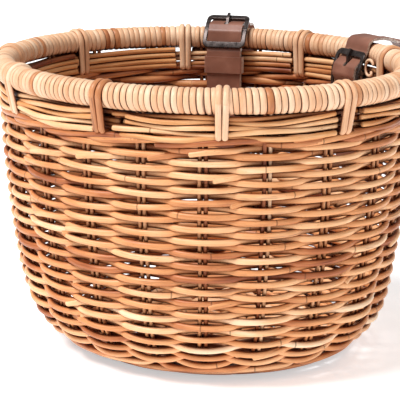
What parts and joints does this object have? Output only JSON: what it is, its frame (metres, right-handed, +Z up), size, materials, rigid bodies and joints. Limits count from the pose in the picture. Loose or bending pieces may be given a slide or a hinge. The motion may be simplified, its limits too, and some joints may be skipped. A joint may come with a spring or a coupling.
{
  "type": "handlebar basket",
  "caption": "Oval woven cane bicycle basket with a wrapped rim and buckled leather straps that loop round the handlebar.",
  "frame": {"origin": "centre of the base's flat underside", "axes": "+X along the oval's longer axis, +Y towards the handlebar, +Z up"},
  "size_m": [0.299, 0.2854, 0.2109],
  "materials": {
    "rattan": "satin",
    "cane_peel": "satin",
    "leather": "satin",
    "gunmetal": "glossy"
  },
  "bodies": {
    "basket": {"base_slath": "rattan", "base_sticks": "rattan", "base_weave_lower": "rattan", "base_weave_upper": "rattan", "side_stakes": "rattan", "wall_weave_inner": "rattan", "wall_weave_outer": "rattan", "border_canes_inner": "rattan", "border_canes_outer": "rattan", "rim_core": "rattan", "rim_wrap": "cane_peel", "rim_ties": "cane_peel", "left_strap": "leather", "left_rivets": "gunmetal", "right_strap": "leather", "right_rivets": "gunmetal"},
    "left_buckle": {"left_buckle_frame": "gunmetal"},
    "left_prong": {"left_buckle_prong": "gunmetal"},
    "left_loop_keeper": {"left_keeper": "leather"},
    "right_buckle": {"right_buckle_frame": "gunmetal"},
    "right_prong": {"right_buckle_prong": "gunmetal"},
    "right_loop_keeper": {"right_keeper": "leather"}
  },
  "joints": [
    {"name": "left_buckle_rock", "type": "hinge", "parent": "basket", "child": "left_buckle", "pos_m": [-0.0517, 0.10478, 0.19846], "axis": [0.9375, 0.3479, 0], "range_deg": [-3, 3]},
    {"name": "left_prong_lift", "type": "hinge", "parent": "left_buckle", "child": "left_prong", "pos_m": [-0.0517, 0.10478, 0.19846], "axis": [0.9375, 0.3479, 0], "range_deg": [0, 10]},
    {"name": "left_keeper_slide", "type": "slide", "parent": "basket", "child": "left_loop_keeper", "axis": [0, 0, 1], "range_m": [-0.002, 0.002]},
    {"name": "right_buckle_rock", "type": "hinge", "parent": "basket", "child": "right_buckle", "pos_m": [0.05748, 0.09525, 0.18056], "axis": [0.9131, -0.4078, 0], "range_deg": [-3, 3]},
    {"name": "right_prong_lift", "type": "hinge", "parent": "right_buckle", "child": "right_prong", "pos_m": [0.05748, 0.09525, 0.18056], "axis": [0.9131, -0.4078, 0], "range_deg": [0, 10]},
    {"name": "right_keeper_slide", "type": "slide", "parent": "basket", "child": "right_loop_keeper", "axis": [0, 0, 1], "range_m": [-0.002, 0.002]}
  ]
}
